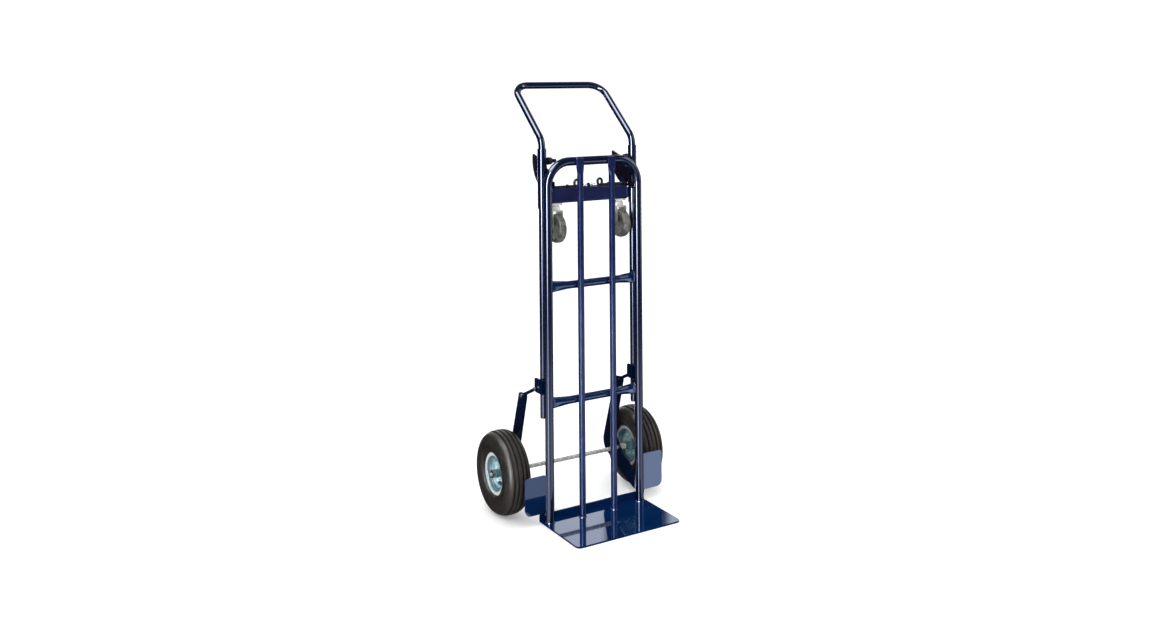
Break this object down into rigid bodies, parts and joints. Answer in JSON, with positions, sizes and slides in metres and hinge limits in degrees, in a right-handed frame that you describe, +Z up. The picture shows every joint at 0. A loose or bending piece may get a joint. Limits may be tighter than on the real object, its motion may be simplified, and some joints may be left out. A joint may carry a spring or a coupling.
{
  "type": "convertible hand truck",
  "caption": "Two-wheeled upright hand truck with a toe plate; its sliding loop handle and caster frame tilt back to turn it into a platform truck.",
  "frame": {"origin": "on the floor, under the middle of the bounding box", "axes": "+X across the truck, +Y backwards from the toe plate towards the wheels, +Z up"},
  "size_m": [0.5752, 0.484, 1.343],
  "materials": {
    "frame_paint": "glossy dark blue powder coat",
    "bright_steel": "bright zinc-plated bar",
    "black_steel": "black oxide steel",
    "zinc_hardware": "zinc-plated fastener",
    "caster_zinc": "bright zinc-plated pressing",
    "spring_steel": "plated spring wire",
    "black_plastic": "black moulded plastic",
    "caster_rubber": "grey-brown rubber tread",
    "caster_core": "light grey moulded plastic",
    "tyre_rubber": "black ribbed tyre rubber",
    "tube_rubber": "black inner tube rubber",
    "rim_zinc": "bright zinc-plated pressed rim",
    "bearing_steel": "oiled plain bearing metal"
  },
  "bodies": {
    "frame": {"main_frame_loop": "frame_paint", "upright_left": "frame_paint", "upright_right": "frame_paint", "cross_members": "frame_paint", "toe_plate": "frame_paint", "wheel_bracket_left": "frame_paint", "wheel_bracket_right": "frame_paint", "wheel_guard_left": "frame_paint", "wheel_guard_right": "frame_paint", "tube_saddle_left": "frame_paint", "tube_saddle_right": "frame_paint", "brace_strap_left": "frame_paint", "brace_strap_right": "frame_paint", "strap_bolts": "zinc_hardware", "axle": "bright_steel", "axle_spacers": "bright_steel", "axle_washers": "black_steel", "cotter_pins": "black_steel", "pivot_plate_left": "frame_paint", "pivot_plate_right": "frame_paint"},
    "caster_frame": {"handle_sleeve_left": "frame_paint", "handle_sleeve_right": "frame_paint", "caster_channel": "frame_paint", "sleeve_brackets": "frame_paint", "pivot_studs": "frame_paint", "pivot_nuts": "zinc_hardware", "latch_guides": "frame_paint", "latch_spring_left": "spring_steel", "latch_spring_right": "spring_steel", "caster_plates": "caster_zinc", "caster_bolts": "zinc_hardware"},
    "handle": {"handle_tube": "frame_paint", "handle_end_plugs": "black_plastic"},
    "latch_left": {"latch_rod_left": "black_steel", "finger_loop_left": "black_plastic"},
    "caster_left": {"caster_fork_left": "caster_zinc", "caster_axle_left": "zinc_hardware"},
    "caster_wheel_left": {"caster_tread_left": "caster_rubber", "caster_core_left": "caster_core"},
    "wheel_left": {"tyre_left": "tyre_rubber", "inner_tube_left": "tube_rubber", "rim_outer_left": "rim_zinc", "rim_inner_left": "rim_zinc", "rim_bolts_left": "zinc_hardware", "wheel_hub_left": "black_steel", "wheel_bearings_left": "bearing_steel"},
    "latch_right": {"latch_rod_right": "black_steel", "finger_loop_right": "black_plastic"},
    "caster_right": {"caster_fork_right": "caster_zinc", "caster_axle_right": "zinc_hardware"},
    "caster_wheel_right": {"caster_tread_right": "caster_rubber", "caster_core_right": "caster_core"},
    "wheel_right": {"tyre_right": "tyre_rubber", "inner_tube_right": "tube_rubber", "rim_outer_right": "rim_zinc", "rim_inner_right": "rim_zinc", "rim_bolts_right": "zinc_hardware", "wheel_hub_right": "black_steel", "wheel_bearings_right": "bearing_steel"}
  },
  "joints": [
    {"name": "caster_frame_tilt", "type": "hinge", "parent": "frame", "child": "caster_frame", "pos_m": [0, -0.0084, 1.1], "axis": [1, 0, 0], "range_deg": [0, 90]},
    {"name": "handle_slide", "type": "slide", "parent": "caster_frame", "child": "handle", "axis": [0, 0, 1], "range_m": [0, 0.63]},
    {"name": "latch_left_slide", "type": "slide", "parent": "caster_frame", "child": "latch_left", "axis": [-1, 0, 0], "range_m": [0, 0.016], "deforming": ["latch_spring_left"]},
    {"name": "caster_left_swivel", "type": "hinge", "parent": "caster_frame", "child": "caster_left", "pos_m": [-0.116, 0.005, 0.947], "axis": [0, 0, 1], "range_deg": [-15, 240]},
    {"name": "caster_wheel_left_spin", "type": "hinge", "parent": "caster_left", "child": "caster_wheel_left", "pos_m": [-0.116, -0.013, 0.8915], "axis": [1, 0, 0], "continuous": true},
    {"name": "wheel_left_spin", "type": "hinge", "parent": "frame", "child": "wheel_left", "pos_m": [-0.244, 0.114, 0.128], "axis": [1, 0, 0], "continuous": true},
    {"name": "latch_right_slide", "type": "slide", "parent": "caster_frame", "child": "latch_right", "axis": [1, 0, 0], "range_m": [0, 0.016], "deforming": ["latch_spring_right"]},
    {"name": "caster_right_swivel", "type": "hinge", "parent": "caster_frame", "child": "caster_right", "pos_m": [0.116, 0.005, 0.947], "axis": [0, 0, 1], "range_deg": [-240, 15]},
    {"name": "caster_wheel_right_spin", "type": "hinge", "parent": "caster_right", "child": "caster_wheel_right", "pos_m": [0.116, -0.013, 0.8915], "axis": [1, 0, 0], "continuous": true},
    {"name": "wheel_right_spin", "type": "hinge", "parent": "frame", "child": "wheel_right", "pos_m": [0.244, 0.114, 0.128], "axis": [1, 0, 0], "continuous": true}
  ]
}
